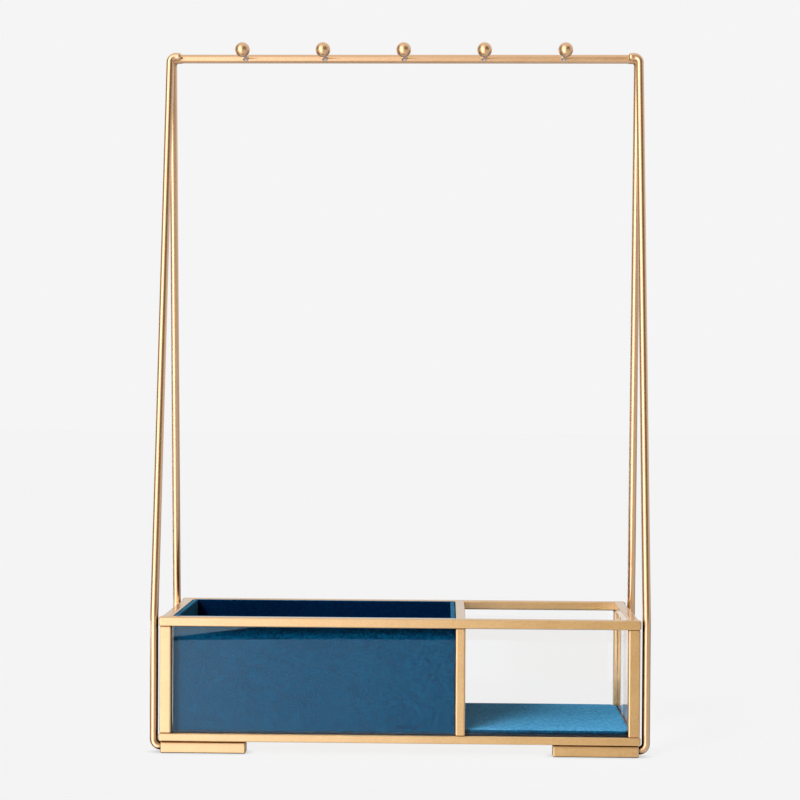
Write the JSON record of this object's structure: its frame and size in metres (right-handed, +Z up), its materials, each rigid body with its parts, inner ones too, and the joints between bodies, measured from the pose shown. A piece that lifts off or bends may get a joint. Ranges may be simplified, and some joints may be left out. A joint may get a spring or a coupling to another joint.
{
  "type": "necklace holder",
  "caption": "Free-standing brass-wire necklace holder: a rod with ball-ended pegs on slanted wire legs above a glass box with a velvet tray and a velvet pad.",
  "frame": {"origin": "on the floor, under the middle of the box", "axes": "+Z up, front towards -Y, +X to the right seen from the front"},
  "size_m": [0.2132, 0.072, 0.3058],
  "materials": {
    "satin_brass": "satin, fine grain",
    "clear_glass": "polished",
    "blue_velvet": "short velvet pile",
    "backing_board": "matte"
  },
  "bodies": {
    "stand": {"base_plate_left": "satin_brass", "base_plate_right": "satin_brass", "bottom_rail_divider": "satin_brass", "bottom_rail_front": "satin_brass", "bottom_rail_left": "satin_brass", "bottom_rail_rear": "satin_brass", "bottom_rail_right": "satin_brass", "corner_post_front_left": "satin_brass", "corner_post_front_right": "satin_brass", "corner_post_rear_left": "satin_brass", "corner_post_rear_right": "satin_brass", "divider_post_front": "satin_brass", "divider_post_rear": "satin_brass", "foot_front_left": "satin_brass", "foot_front_right": "satin_brass", "foot_rear_left": "satin_brass", "foot_rear_right": "satin_brass", "glass_divider": "clear_glass", "glass_front_left": "clear_glass", "glass_front_right": "clear_glass", "glass_left": "clear_glass", "glass_rear_left": "clear_glass", "glass_rear_right": "clear_glass", "glass_right": "clear_glass", "hanging_rod": "satin_brass", "hook_ball_1": "satin_brass", "hook_ball_2": "satin_brass", "hook_ball_3": "satin_brass", "hook_ball_4": "satin_brass", "hook_ball_5": "satin_brass", "hook_stem_1": "satin_brass", "hook_stem_2": "satin_brass", "hook_stem_3": "satin_brass", "hook_stem_4": "satin_brass", "hook_stem_5": "satin_brass", "leg_front_left": "satin_brass", "leg_front_right": "satin_brass", "leg_rear_left": "satin_brass", "leg_rear_right": "satin_brass", "top_rail_divider": "satin_brass", "top_rail_front": "satin_brass", "top_rail_left": "satin_brass", "top_rail_rear": "satin_brass", "top_rail_right": "satin_brass"},
    "velvet_tray": {"tray_floor": "blue_velvet", "tray_wall_front": "blue_velvet", "tray_wall_left": "blue_velvet", "tray_wall_rear": "blue_velvet", "tray_wall_right": "blue_velvet"},
    "velvet_pad": {"pad_board": "backing_board", "pad_cushion": "blue_velvet"}
  },
  "joints": [
    {"name": "tray_lift", "type": "slide", "parent": "stand", "child": "velvet_tray", "axis": [0, 0, 1], "range_m": [0, 0.06]},
    {"name": "pad_lift", "type": "slide", "parent": "stand", "child": "velvet_pad", "axis": [0, 0, 1], "range_m": [0, 0.06]}
  ]
}
